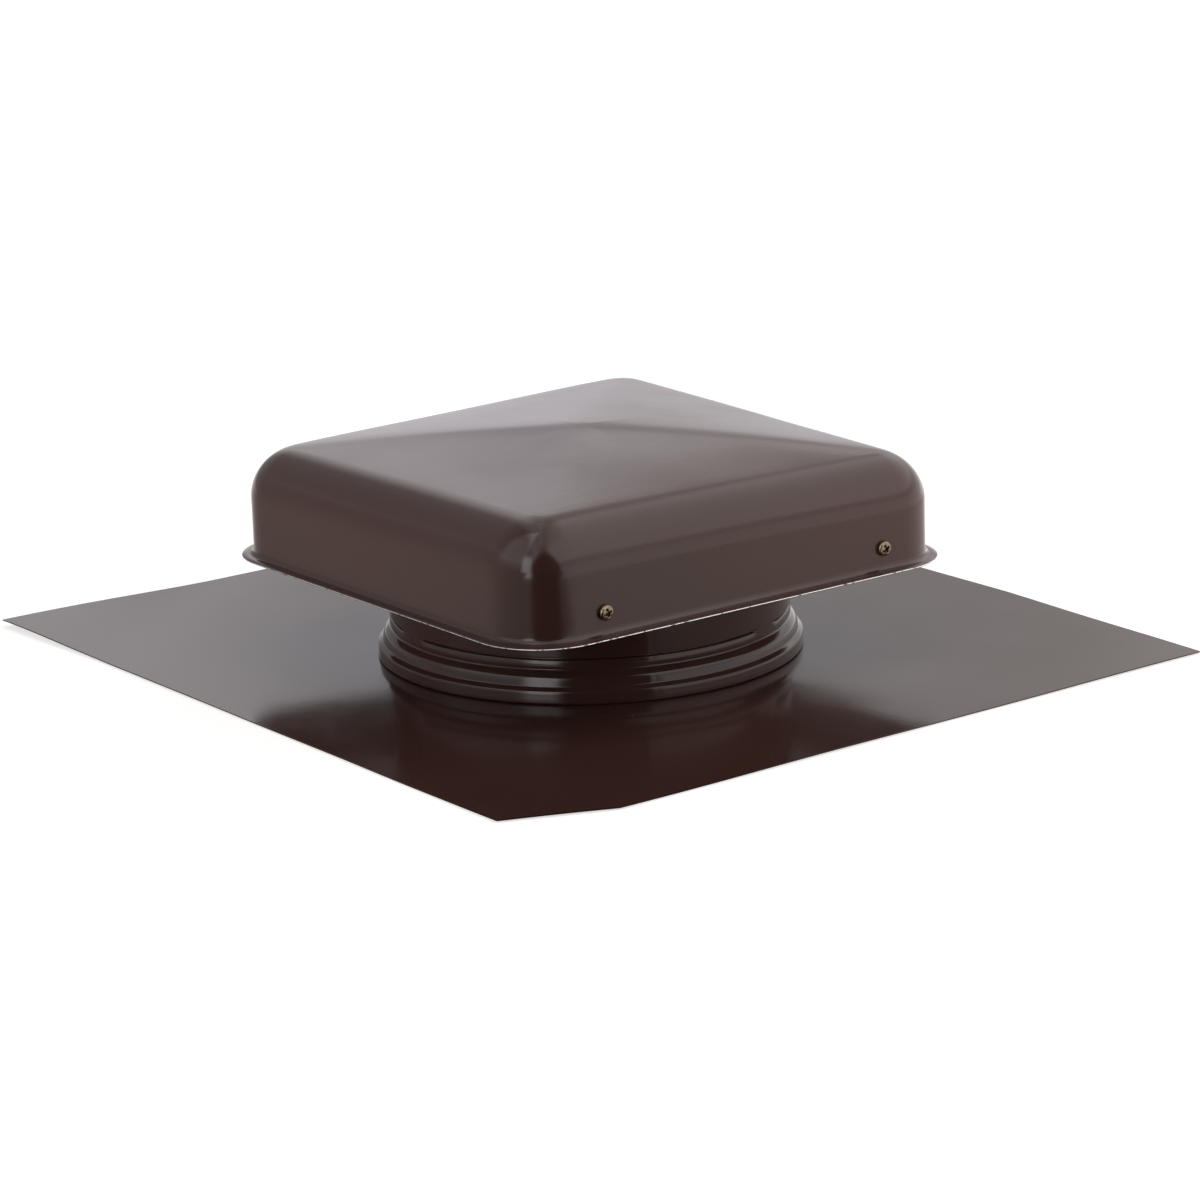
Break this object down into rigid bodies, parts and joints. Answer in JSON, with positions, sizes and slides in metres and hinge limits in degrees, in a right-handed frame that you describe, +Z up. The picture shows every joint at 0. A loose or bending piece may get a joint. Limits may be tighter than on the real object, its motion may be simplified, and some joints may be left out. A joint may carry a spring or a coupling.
{
  "type": "static roof vent",
  "caption": "Square pressed-metal roof vent hood with an outward lip over a round throat that stands on a flat flashing sheet with one clipped corner.",
  "frame": {"origin": "middle of the flashing sheet's rectangle on its flat underside", "axes": "+Z up through the throat, +Y along the sheet's longer side, -Y towards the hood wall whose two screws show in the picture"},
  "size_m": [0.4212, 0.4616, 0.1152],
  "materials": {
    "brown_paint": "gloss",
    "galvanised_steel": "satin",
    "zinc_plate": "bright"
  },
  "bodies": {
    "root": {"base_flange": "brown_paint", "collar": "brown_paint", "hood": "brown_paint", "strap_left": "galvanised_steel", "strap_right": "galvanised_steel", "insect_screen": "galvanised_steel", "screen_ring": "galvanised_steel", "hood_screw_1": "zinc_plate", "hood_screw_2": "zinc_plate", "hood_screw_3": "zinc_plate", "hood_screw_4": "zinc_plate", "rivet_1": "galvanised_steel", "rivet_2": "galvanised_steel", "rivet_3": "galvanised_steel", "rivet_4": "galvanised_steel", "rivet_5": "galvanised_steel", "rivet_6": "galvanised_steel", "rivet_7": "galvanised_steel", "rivet_8": "galvanised_steel"}
  },
  "joints": []
}
